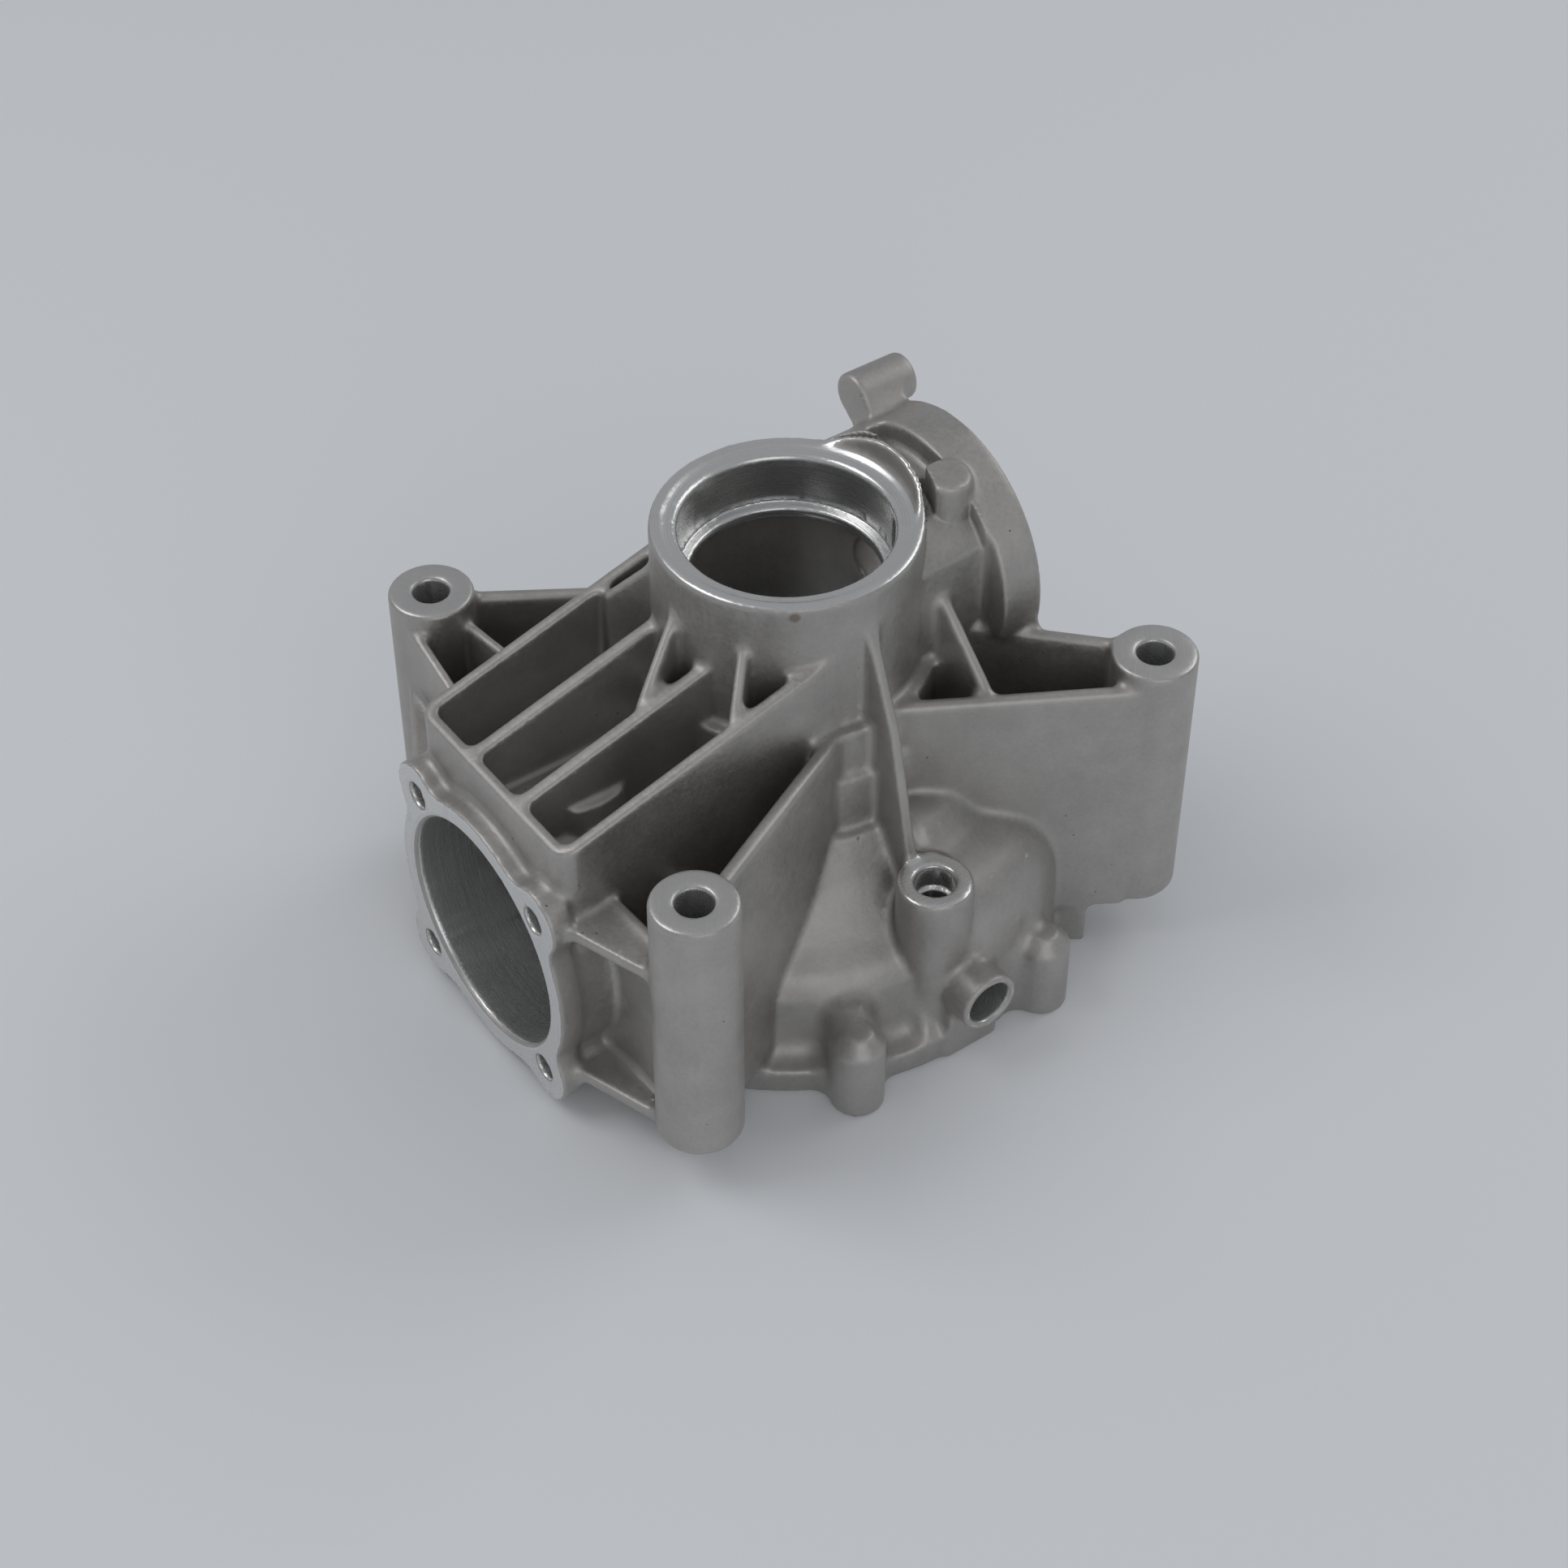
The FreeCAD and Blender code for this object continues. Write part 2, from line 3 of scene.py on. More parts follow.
import bpy
import numpy as np
import openvdb
from bpy.props import FloatProperty, FloatVectorProperty, PointerProperty
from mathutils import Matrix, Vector


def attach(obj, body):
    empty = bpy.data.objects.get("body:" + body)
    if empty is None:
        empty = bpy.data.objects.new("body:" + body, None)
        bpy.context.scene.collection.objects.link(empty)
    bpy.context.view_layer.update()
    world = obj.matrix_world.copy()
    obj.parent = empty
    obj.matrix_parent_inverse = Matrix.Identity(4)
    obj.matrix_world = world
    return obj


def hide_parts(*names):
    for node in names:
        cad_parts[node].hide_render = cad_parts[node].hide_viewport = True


# Dressing of a die cast gearbox housing: a blended cast skin over the machined
# model, its aluminium finish, and a plain studio around it.  Forms of the skin
# are worked out in millimetres, and everything in Blender is in metres.

bl_info = {
    "name": "Cast Housing Dressing",
    "version": (1, 0, 0),
    "blender": (4, 5, 0),
    "location": "View3D > Sidebar > Casting",
    "description": "Adds the blended casting skin, its finish and a studio",
    "category": "Object",
}

NODE = "housing"
SKIN = "cast_housing"

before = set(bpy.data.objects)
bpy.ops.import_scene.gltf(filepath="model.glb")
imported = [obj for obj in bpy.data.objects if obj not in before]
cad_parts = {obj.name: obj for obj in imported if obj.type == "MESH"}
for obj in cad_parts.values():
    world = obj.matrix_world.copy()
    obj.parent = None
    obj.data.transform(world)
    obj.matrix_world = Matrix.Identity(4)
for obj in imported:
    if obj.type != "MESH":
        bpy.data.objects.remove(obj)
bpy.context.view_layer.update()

MM = 0.001                                   # a millimetre in metres

# Bores, holes and faces of the housing, in millimetres.
FRONT_Y = -91.65                             # flange face
TUBE_Z = 38.0                                # height of the pinion axis
TUBE_R = 27.5
TUBE_MOUTH_R = 30.2
TUBE_MOUTH_END = -53.65
SEAT_R = 26.0                                # bearing seat in the collar
SEAT_LEVELS = (107.9, 122.0)
COLLAR_MOUTH_R = 30.2
COLLAR_FOOT = (32.95, 35.6, 120.6)           # clearance round the collar: radii and floor
DRUM_Z = 95.6                                # height of the drum's axis
DRUM_RECESS_R = 28.0
DRUM_WAIST_R = 29.8
POSTS = ((63.3, -71.0), (-63.3, -62.8), (59.1, 67.5))
POST_HOLE_R = 4.5
POST_LEVELS = (10.0, 89.1)
FLANGE_X = 25.9                              # flange screws from the pinion axis
FLANGE_RISE = 25.7
FLANGE_HOLE_R = 3.4
FLANGE_HOLE_END = -73.65
COVER_REACH = 75.5                           # cover lobes from the collar's axis
COVER_TURNS = np.radians(np.arange(22.5, 360.0, 45.0))
COVER_HOLE_R = 2.5
COVER_HOLE_TOP = 14.0
PLUG = (60.5, 0.5)
PLUG_R = 5.1
PLUG_LEVELS = (44.0, 51.0)
PLUG_LOWER_R = 4.0
PORT = (4.8, 20.5)                           # y and z of the side port
PORT_R = 5.9
PORT_REACH = (53.0, 79.0)
FINE_CHAMFER, CHAMFER, WIDE_CHAMFER = 0.6, 0.8, 1.0

# Soft forms: (radius, height) outlines of the bell and its blends.
RIM_OUTLINE = [(72.0, 0.1), (72.0, 7.4), (65.4, 7.4), (64.9, 16.0)]
RIM_TOP = 7.4
BELL_R = 64.6
BELL_SHOULDER = [
    (BELL_R, 23.0), (63.9, 26.4), (61.4, 30.2), (55.6, 34.6), (48.6, 42.2), (43.6, 49.6), (41.2, 55.2)]
BELL_INSIDE = [(37.4, 55.2), (37.4, 51.2), (60.6, 24.4), (60.6, 0.1)]
HIGH_BELL = [
    (71.4, 20.0), (71.0, 31.4), (68.2, 39.8), (64.0, 44.8),
    (58.6, 47.6), (52.6, 49.9), (47.6, 55.6), (41.0, 57.8)]
HIGH_BELL_RISE = (-4.0, 9.0)                 # degrees over which it climbs
HIGH_BELL_FALL = (52.0, 62.0)                # and comes down again
SOFT_VOXEL, SOFT_ROOT, SOFT_CREST = 0.8, 4.0, 1.0
FLANK = [(17.0, 30.0), (25.0, 30.0), (25.0, 43.0), (17.0, 43.0)]
FLANK_LEVELS = (60.0, 104.0)                 # fill between collar and drum
PAD_PLACE, PAD_REACH, PAD_LEVELS = (13.0, -64.3), (2.7, 7.8), (64.0, 78.2)

TRIANGLE_GOAL = 190000
BEND_FULL = 900.0                            # bend, per metre, that counts as a full edge
MASK_REACH = 0.2                             # machined finish past its wall, in millimetres
STAIN_PLACE = (0.0278, -0.0178, 0.1206)

# Studio, in metres.
FLOOR_REACH = 4.0
LOOK_AT = (0.0, 0.0, 0.06)
BACKDROP = (0.93, 0.95, 1.0, 1.0)
BACKDROP_STRENGTH = 0.36
CAMERA_PLACE = (0.4680, -0.3384, 0.5874)
CAMERA_TURN = (46.36, 0.0, 54.19)
CAMERA_LENS = 71.71


# ------------------------------------------------------------------ settings
class CastingSettings(bpy.types.PropertyGroup):
    """Sizes and colours of the dressing."""

    voxel: FloatProperty(
        name="Skin voxel", default=0.6, min=0.3, max=3.0,
        description="Grid step of the blended skin, in millimetres")
    hollow_radius: FloatProperty(
        name="Root blend", default=1.4, min=0.0, max=5.0,
        description="Radius of the casting's inner fillets, in millimetres")
    crest_radius: FloatProperty(
        name="Edge blend", default=0.5, min=0.0, max=3.0,
        description="Radius of the casting's outer edges, in millimetres")
    flat_merge: FloatProperty(
        name="Flat merge", default=0.012, min=0.0, max=0.2, subtype="FACTOR",
        description="How readily flat parts of the skin become larger faces")
    cast_colour: FloatVectorProperty(
        name="Cast metal", subtype="COLOR", size=3, default=(0.46, 0.445, 0.425),
        description="Colour of the surfaces left as cast")
    cut_colour: FloatVectorProperty(
        name="Machined metal", subtype="COLOR", size=3, default=(0.74, 0.74, 0.73),
        description="Colour of the turned, milled and drilled surfaces")
    stain_colour: FloatVectorProperty(
        name="Stain", subtype="COLOR", size=3, default=(0.20, 0.165, 0.125),
        description="Colour of the small stain on the collar")
    floor_colour: FloatVectorProperty(
        name="Floor", subtype="COLOR", size=3, default=(0.85, 0.87, 0.89),
        description="Colour of the studio floor")
    key_power: FloatProperty(
        name="Key light", default=4.2, min=0.0, max=200.0, subtype="POWER", unit="POWER",
        description="Power of the key light; the other lights follow it")


# ------------------------------------------------------------------ shader maths
class Socket:
    """Output socket that can be used in Python expressions."""

    def __init__(self, graph, output):
        self.graph = graph
        self.output = output

    def __add__(self, other):
        return self.graph.math("ADD", self, other)

    def __radd__(self, other):
        return self.graph.math("ADD", other, self)

    def __sub__(self, other):
        return self.graph.math("SUBTRACT", self, other)

    def __rsub__(self, other):
        return self.graph.math("SUBTRACT", other, self)

    def __mul__(self, other):
        return self.graph.math("MULTIPLY", self, other)

    def __rmul__(self, other):
        return self.graph.math("MULTIPLY", other, self)

    def __lt__(self, other):
        return self.graph.math("LESS_THAN", self, other)

    def __gt__(self, other):
        return self.graph.math("GREATER_THAN", self, other)

    def minimum(self, other):
        return self.graph.math("MINIMUM", self, other)

    def maximum(self, other):
        return self.graph.math("MAXIMUM", self, other)

    def absolute(self):
        return self.graph.math("ABSOLUTE", self)

    def root(self):
        return self.graph.math("SQRT", self.maximum(0.0))

    def clamped(self):
        return self.maximum(0.0).minimum(1.0)

    def ramp(self, low, high):
        """Smooth step from 0 at low to 1 at high."""
        node = self.graph.node("ShaderNodeMapRange", interpolation_type="SMOOTHSTEP")
        self.graph.feed(node.inputs["Value"], self)
        node.inputs["From Min"].default_value = low
        node.inputs["From Max"].default_value = high
        return Socket(self.graph, node.outputs["Result"])


class Graph:
    """Node tree of one material."""

    def __init__(self, material):
        material.use_nodes = True
        self.tree = material.node_tree
        self.tree.nodes.clear()

    def node(self, kind, **settings):
        made = self.tree.nodes.new(kind)
        for key, value in settings.items():
            setattr(made, key, value)
        return made

    def feed(self, socket, value):
        if isinstance(value, Socket):
            self.tree.links.new(value.output, socket)
        elif isinstance(value, (tuple, list)):
            socket.default_value = tuple(value) + (1.0,) * (len(socket.default_value) - len(value))
        else:
            socket.default_value = value

    def math(self, operation, first, second=0.0):
        made = self.node("ShaderNodeMath", operation=operation)
        self.feed(made.inputs[0], first)
        self.feed(made.inputs[1], second)
        return Socket(self, made.outputs[0])

    def mix(self, factor, first, second):
        made = self.node("ShaderNodeMix", data_type="RGBA")
        self.feed(made.inputs[0], factor)
        self.feed(made.inputs[6], first)
        self.feed(made.inputs[7], second)
        return Socket(self, made.outputs[2])

    def place(self):
        """Object coordinates as a vector and as its three parts, in metres."""
        here = self.node("ShaderNodeTexCoord")
        apart = self.node("ShaderNodeSeparateXYZ")
        self.tree.links.new(here.outputs["Object"], apart.inputs[0])
        return Socket(self, here.outputs["Object"]), [Socket(self, apart.outputs[i]) for i in range(3)]

    def facing(self):
        """Parts of the true surface normal."""
        geometry = self.node("ShaderNodeNewGeometry")
        apart = self.node("ShaderNodeSeparateXYZ")
        self.tree.links.new(geometry.outputs["Normal"], apart.inputs[0])
        return [Socket(self, apart.outputs[i]) for i in range(3)]

    def noise(self, place, scale, detail=3.0, roughness=0.55):
        """Cloud noise from 0 to 1 on a vector."""
        made = self.node("ShaderNodeTexNoise")
        self.feed(made.inputs["Vector"], place)
        made.inputs["Scale"].default_value = scale
        made.inputs["Detail"].default_value = detail
        made.inputs["Roughness"].default_value = roughness
        return Socket(self, made.outputs[0])

    def cells(self, place, scale):
        """Distance to the nearest of scattered points."""
        made = self.node("ShaderNodeTexVoronoi")
        self.feed(made.inputs["Vector"], place)
        made.inputs["Scale"].default_value = scale
        return Socket(self, made.outputs["Distance"])

    def attribute(self, name):
        made = self.node("ShaderNodeAttribute", attribute_name=name)
        return Socket(self, made.outputs["Fac"])

    def bump(self, height, distance, strength):
        made = self.node("ShaderNodeBump")
        made.inputs["Distance"].default_value = distance
        made.inputs["Strength"].default_value = strength
        self.feed(made.inputs["Height"], height)
        return Socket(self, made.outputs[0])

    def finish(self, **inputs):
        """Principled shader with the given sockets, joined to the output."""
        shader = self.node("ShaderNodeBsdfPrincipled")
        for key, value in inputs.items():
            self.feed(shader.inputs[key.replace("_", " ")], value)
        output = self.node("ShaderNodeOutputMaterial")
        self.tree.links.new(shader.outputs[0], output.inputs[0])


# ------------------------------------------------------------------ cast skin
def triangle_soup(obj):
    """Corner points in millimetres and corner numbers of an object's triangles."""
    mesh = obj.data
    mesh.calc_loop_triangles()
    points = read(mesh.vertices, "co", 3, np.float32) * 1000.0
    corners = read(mesh.loop_triangles, "vertices", 3, np.int32)
    return points, corners, np.zeros((0, 4), np.int32)


def level_set(points, triangles, quads, voxel, half_width):
    """Signed distance to a closed surface, kept in a band of voxels around it."""
    return openvdb.FloatGrid.createLevelSetFromPolygons(
        points.astype(np.float32),
        triangles=triangles.astype(np.uint32) if len(triangles) else None,
        quads=quads.astype(np.uint32) if len(quads) else None,
        transform=openvdb.createLinearTransform(voxelSize=voxel),
        halfWidth=half_width,
    )


def offset_surface(points, triangles, quads, voxel, offset):
    """Surface at a signed distance from a closed one: f(p) = offset."""
    grid = level_set(points, triangles, quads, voxel, abs(offset) / voxel + 3.0)
    return grid.convertToPolygons(isovalue=offset, adaptivity=0.0)


# ------------------------------------------------------------------ soft forms
def cap(count):
    """Triangle fan over a ring of points."""
    return np.stack([np.zeros(count - 2, int), np.arange(1, count - 1), np.arange(2, count)], -1)


def swept(profile, angles, place=(0.0, 0.0)):
    """Closed (radius, height) outlines turned about Z, one outline per angle.

    profile has shape (angles, corners, 2): p = (r cos a, r sin a, z).
    """
    profile = np.asarray(profile, float)
    if profile.ndim == 2:
        profile = np.repeat(profile[None], len(angles), 0)
    count, corners = profile.shape[:2]
    turn = np.asarray(angles)[:, None]
    points = np.stack([
        profile[:, :, 0] * np.cos(turn) + place[0],
        profile[:, :, 0] * np.sin(turn) + place[1],
        profile[:, :, 1],
    ], -1).reshape(-1, 3)
    closed = abs(angles[-1] - angles[0]) > 2 * math.pi - 2 * abs(angles[1] - angles[0])
    rows = np.arange(count if closed else count - 1)
    here = (rows[:, None] * corners + np.arange(corners)[None])
    beside = (rows[:, None] * corners + (np.arange(corners)[None] + 1) % corners)
    after = here + corners
    after_beside = beside + corners
    quads = np.stack([here, after, after_beside, beside], -1).reshape(-1, 4) % (count * corners)
    triangles = np.zeros((0, 3), int)
    if not closed:
        fan = cap(corners)
        triangles = np.concatenate([fan, fan[:, ::-1] + (count - 1) * corners])
    return points, triangles, quads


def smooth_step(value, low, high):
    """3 t^2 - 2 t^3 with t = (value - low) / (high - low) held to 0..1."""
    t = np.clip((value - low) / (high - low), 0.0, 1.0)
    return t * t * (3.0 - 2.0 * t)


def rounded_line(corners, count):
    """Catmull-Rom curve through (radius, height) corners."""
    corners = np.asarray(corners, float)
    ends = np.concatenate([[2 * corners[0] - corners[1]], corners, [2 * corners[-1] - corners[-2]]])
    spans = len(corners) - 1
    at = np.linspace(0, spans, count)
    index = np.minimum(at.astype(int), spans - 1)
    t = (at - index)[:, None]
    a, b, c, d = (ends[index + k] for k in range(4))
    square = (2 * a - 5 * b + 4 * c - d) * t ** 2
    cube = (3 * b - a - 3 * c + d) * t ** 3
    return 0.5 * (2 * b + (c - a) * t + square + cube)


def bell_shell():
    """Round shoulder of the bell with the rim below it."""
    profile = np.concatenate([RIM_OUTLINE, rounded_line(BELL_SHOULDER, 22), BELL_INSIDE])
    return swept(profile, np.radians(np.arange(0, 360, 2.0)))


def high_bell():
    """Taller sector of the bell: z = base + (crown - base) w(a), w a smooth step up and down."""
    angles = np.radians(np.arange(HIGH_BELL_RISE[0] - 2.0, HIGH_BELL_FALL[1] + 4.0, 1.0))
    crown = rounded_line(HIGH_BELL, 30)
    shoulder = rounded_line(BELL_SHOULDER, 60)[::-1]
    base = np.interp(crown[:, 0], shoulder[:, 0], shoulder[:, 1])
    base = np.where(crown[:, 0] > BELL_R, RIM_TOP, base)
    degrees = np.degrees(angles)
    rise = smooth_step(degrees, *HIGH_BELL_RISE) * (1.0 - smooth_step(degrees, *HIGH_BELL_FALL))
    top = base[None] + (crown[:, 1] - base)[None] * rise[:, None]
    bottom = np.repeat((base - 2.0)[None], len(angles), 0)
    radius = np.repeat(crown[None, :, 0], len(angles), 0)
    upper = np.stack([radius, top], -1)
    lower = np.stack([radius, bottom], -1)[:, ::-1]
    return swept(np.concatenate([upper, lower], 1), angles)


def domed_pin(place, radius, top):
    """Upright pin with a round head: r = R cos b, z = top - R + R sin b."""
    rise = np.linspace(0.0, math.pi / 2, 9)
    head = np.stack([radius * np.cos(rise), top - radius + radius * np.sin(rise)], -1)
    head[-1, 0] = 0.01
    profile = np.concatenate([[(0.01, 0.2), (radius, 0.2)], head])
    return swept(profile, np.radians(np.arange(0, 360, 12.0)), place)


def cover_lobes():
    """Eight lobes, each a row of domed pins from the rim towards the bell."""
    parts = []
    for turn in COVER_TURNS:
        for share in np.linspace(0.0, 1.0, 6):
            reach = COVER_REACH - 9.0 * share
            place = (reach * math.cos(turn), reach * math.sin(turn))
            parts.append(domed_pin(place, 6.7 - 1.0 * share, 24.3 + 1.4 * share))
    return parts


def prism(corners, low, high):
    """Upright prism on a convex outline."""
    count = len(corners)
    flat = np.array(corners, float)
    points = np.concatenate([
        np.column_stack([flat, np.full(count, low)]),
        np.column_stack([flat, np.full(count, high)]),
    ])
    index = np.arange(count)
    after = (index + 1) % count
    quads = np.stack([index, after, after + count, index + count], -1)
    fan = cap(count)
    return points, np.concatenate([fan[:, ::-1], fan + count]), quads


def pocket_pad():
    """Upright oval pad in a deck pocket: ((x - a) / p)^2 + ((y - b) / q)^2 = 1."""
    turn = np.radians(np.arange(0, 360, 15.0))
    oval = np.column_stack([
        PAD_PLACE[0] + PAD_REACH[0] * np.cos(turn),
        PAD_PLACE[1] + PAD_REACH[1] * np.sin(turn),
    ])
    return prism(oval, *PAD_LEVELS)


def drill(axis, place, radius, start, end, chamfer=0.0, mouth=1):
    """Round cutter along an axis, its mouth widened by a 45 degree chamfer."""
    across = [i for i in range(3) if i != axis]
    reach = radius + chamfer + 1.0
    low, high = [0.0] * 3, [0.0] * 3
    for i, centre in zip(across, place):
        low[i], high[i] = centre - reach, centre + reach
    low[axis], high[axis] = start - 1.0, end + 1.0
    lip = end if mouth > 0 else start

    def distance(x, y, z):
        parts = (x, y, z)
        rho = np.hypot(parts[across[0]] - place[0], parts[across[1]] - place[1])
        along = parts[axis]
        body = np.maximum(rho - radius, np.maximum(start - along, along - end))
        if chamfer:
            depth = (lip - along) * mouth
            cone = np.maximum((rho - radius - chamfer + depth) * 0.7071, -depth - 1.0)
            body = np.minimum(body, np.maximum(cone, depth - chamfer))
        return body

    return (low, high), distance


def collar_clearance():
    """Ring round the collar where the drum stays below the machined face."""
    inner, outer, floor = COLLAR_FOOT

    def distance(x, y, z):
        rho = np.hypot(x, y)
        return np.maximum(np.maximum(inner - rho, rho - outer), floor - z)
    return ((-37, 5, 119), (37, 37, 131)), distance


def drum_waist():
    """Lower drum body beside the vent boss."""
    def distance(x, y, z):
        ring = np.maximum(DRUM_WAIST_R - np.hypot(x, z - DRUM_Z), COLLAR_FOOT[0] - np.hypot(x, y))
        band = np.maximum(np.maximum(y - 40.0, 4.0 - x), 111.0 - z)
        boss = 6.0 - np.hypot(x - 14.0, y - 37.0)
        return np.maximum(np.maximum(ring, band), boss)
    return ((3, 8, 110), (40, 41, 131)), distance


def rear_corner():
    """Slanting underside of the small gusset beside the rim."""
    def distance(x, y, z):
        beyond = 0.8668 * x - 0.4986 * y - 25.55
        return np.maximum(np.maximum(73.0 + 0.42 * z - np.hypot(x, y), z - 19.0), 2.5 - beyond)
    return ((50, 40, -1), (66, 56, 20)), distance


def cutters():
    """Every bore and hole, and the three clearances, as (box, distance) pairs."""
    tube = (0.0, TUBE_Z)
    found = [
        collar_clearance(), drum_waist(), rear_corner(),
        drill(1, tube, TUBE_MOUTH_R, FRONT_Y, TUBE_MOUTH_END, WIDE_CHAMFER, -1),
        drill(1, tube, TUBE_R, FRONT_Y, 0.0),
        drill(2, (0.0, 0.0), SEAT_R, *SEAT_LEVELS, CHAMFER),
        drill(2, PLUG, PLUG_R, *PLUG_LEVELS, FINE_CHAMFER),
        drill(2, PLUG, PLUG_LOWER_R, RIM_TOP, PLUG_LEVELS[1]),
        drill(0, PORT, PORT_R, *PORT_REACH, CHAMFER),
    ]
    for turn in COVER_TURNS:
        place = (COVER_REACH * math.cos(turn), COVER_REACH * math.sin(turn))
        found.append(drill(2, place, COVER_HOLE_R, -1.0, COVER_HOLE_TOP))
    for place in POSTS:
        found.append(drill(2, place, POST_HOLE_R, *POST_LEVELS, FINE_CHAMFER))
    for x in (-FLANGE_X, FLANGE_X):
        for z in (TUBE_Z - FLANGE_RISE, TUBE_Z + FLANGE_RISE):
            found.append(drill(1, (x, z), FLANGE_HOLE_R, FRONT_Y, FLANGE_HOLE_END, FINE_CHAMFER, -1))
    return found


# ------------------------------------------------------------------ blending
def joined(parts):
    """Several (points, triangles, quads) as one."""
    points, triangles, quads = [], [], []
    start = 0
    for part in parts:
        points.append(part[0])
        triangles.append(part[1] + start)
        quads.append(part[2] + start)
        start += len(part[0])
    return np.concatenate(points), np.concatenate(triangles), np.concatenate(quads)


def blended_surface(surface, voxel, hollow, crest, cutters=(), adaptivity=0.0):
    """Fillets of a casting: grow by hollow, shrink by hollow + crest, grow by crest.

    The first pair closes inner corners to the hollow radius, and the second
    opens outer edges to the crest radius: ((S + h) - (h + c)) + c.  Cutters are
    then taken away: f = max(f, -cutter).
    """
    surface = offset_surface(*surface, voxel, hollow)
    surface = offset_surface(*surface, voxel, -hollow - crest)
    points, triangles, quads = surface
    grid = level_set(points, triangles, quads, voxel, crest / voxel + 4.0)
    low, high = grid.evalActiveVoxelBoundingBox()
    low = np.array(low)
    shape = np.array(high) - low + 1
    field = np.empty(shape, np.float32)
    grid.copyToArray(field, ijk=tuple(int(v) for v in low))
    field -= crest
    for cutter in cutters:
        carve(field, low, voxel, cutter)
    limit = 3.0 * voxel
    np.clip(field, -limit, limit, out=field)
    result = openvdb.FloatGrid(limit)
    result.copyFromArray(field, ijk=tuple(int(v) for v in low), tolerance=0.0)
    result.transform = openvdb.createLinearTransform(voxelSize=voxel)
    return result.convertToPolygons(isovalue=0.0, adaptivity=adaptivity)


def carve(field, low, voxel, cutter):
    """Takes one cutter out of a distance field: f = max(f, -cutter(x, y, z))."""
    (start, end), distance = cutter
    first = np.clip(np.floor(np.array(start) / voxel).astype(int) - low, 0, field.shape)
    last = np.clip(np.ceil(np.array(end) / voxel).astype(int) - low + 1, 0, field.shape)
    ranges = [(np.arange(first[i], last[i]) + low[i]) * voxel for i in range(3)]
    x, y, z = np.meshgrid(*ranges, indexing="ij", sparse=True)
    part = field[first[0]:last[0], first[1]:last[1], first[2]:last[2]]
    if part.size:
        np.maximum(part, -distance(x, y, z), out=part)


def outward(points, triangles, quads):
    """Faces turned so that the enclosed volume, sum(a . b x c) / 6, is positive."""
    fans = [triangles, quads[:, (0, 1, 2)], quads[:, (0, 2, 3)]]
    corners = points[np.concatenate(fans)]
    volume = np.einsum("ij,ij->i", corners[:, 0], np.cross(corners[:, 1], corners[:, 2])).sum()
    if volume < 0:
        return triangles[:, ::-1], quads[:, ::-1]
    return triangles, quads


def mesh_from(name, points, triangles, quads):
    """Mesh in metres from millimetre points, triangles and quads."""
    mesh = bpy.data.meshes.new(name)
    mesh.from_pydata((points / 1000.0).tolist(), [], triangles.tolist() + quads.tolist())
    shade_smooth(mesh)
    mesh.update()
    return mesh


def shade_smooth(mesh):
    mesh.polygons.foreach_set("use_smooth", np.ones(len(mesh.polygons), bool))


def read(items, name, width, kind):
    """One attribute of many mesh elements as rows."""
    values = np.empty(len(items) * width, kind)
    items.foreach_get(name, values)
    return values.reshape(-1, width)


def curvature(mesh, passes):
    """Signed bend at each point, the mean over its edges of dn . dp / |dp|^2, then smoothed."""
    count = len(mesh.vertices)
    place = read(mesh.vertices, "co", 3, np.float32)
    normal = read(mesh.vertices, "normal", 3, np.float32)
    ends = read(mesh.edges, "vertices", 2, np.int32)
    both = np.concatenate([ends, ends[:, ::-1]])
    degree = np.maximum(np.bincount(both[:, 0], minlength=count), 1)
    span = place[both[:, 1]] - place[both[:, 0]]
    length = np.maximum(np.linalg.norm(span, axis=1), 1e-9)
    turn = normal[both[:, 1]] - normal[both[:, 0]]
    bend = np.einsum("ij,ij->i", turn, span) / (length * length)
    value = np.bincount(both[:, 0], weights=bend, minlength=count) / degree
    for _ in range(passes):
        spread = np.bincount(both[:, 0], weights=value[both[:, 1]], minlength=count) / degree
        value = 0.5 * value + 0.5 * spread
    return value


def apply_modifiers(obj):
    """Leaves an object's modified mesh as its plain mesh."""
    bpy.context.view_layer.update()
    finished = bpy.data.meshes.new_from_object(obj.evaluated_get(bpy.context.evaluated_depsgraph_get()))
    obj.modifiers.clear()
    old = obj.data
    obj.data = finished
    bpy.data.meshes.remove(old)


def build_skin(settings):
    """Blended skin over the node, with its soft forms, thinned to the triangle goal."""
    soft_parts = joined([bell_shell(), high_bell()] + cover_lobes())
    soft = blended_surface(soft_parts, SOFT_VOXEL, SOFT_ROOT, SOFT_CREST)
    body = triangle_soup(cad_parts[NODE])
    whole = joined([body, soft, prism(FLANK, *FLANK_LEVELS), pocket_pad()])
    points, triangles, quads = blended_surface(
        whole, settings.voxel, settings.hollow_radius, settings.crest_radius,
        cutters(), settings.flat_merge)
    triangles, quads = outward(points, triangles, quads)
    skin = bpy.data.objects.new(SKIN, mesh_from(SKIN, points, triangles, quads))
    bpy.context.scene.collection.objects.link(skin)
    total = len(triangles) + 2 * len(quads)
    if total > TRIANGLE_GOAL:
        thin = skin.modifiers.new("thin", "DECIMATE")
        thin.ratio = TRIANGLE_GOAL / total
        apply_modifiers(skin)
    shade_smooth(skin.data)
    bend = curvature(skin.data, 2)
    # crest (convex bend) pales the finish as painted highlight and wear; root (concave bend) darkens it as
    # painted shade.
    for name, sign in (("crest", 1.0), ("root", -1.0)):
        layer = skin.data.attributes.new(name, "FLOAT", "POINT")
        level = np.clip(sign * bend / BEND_FULL, 0.0, 1.0)
        layer.data.foreach_set("value", level.astype(np.float32))
    return skin


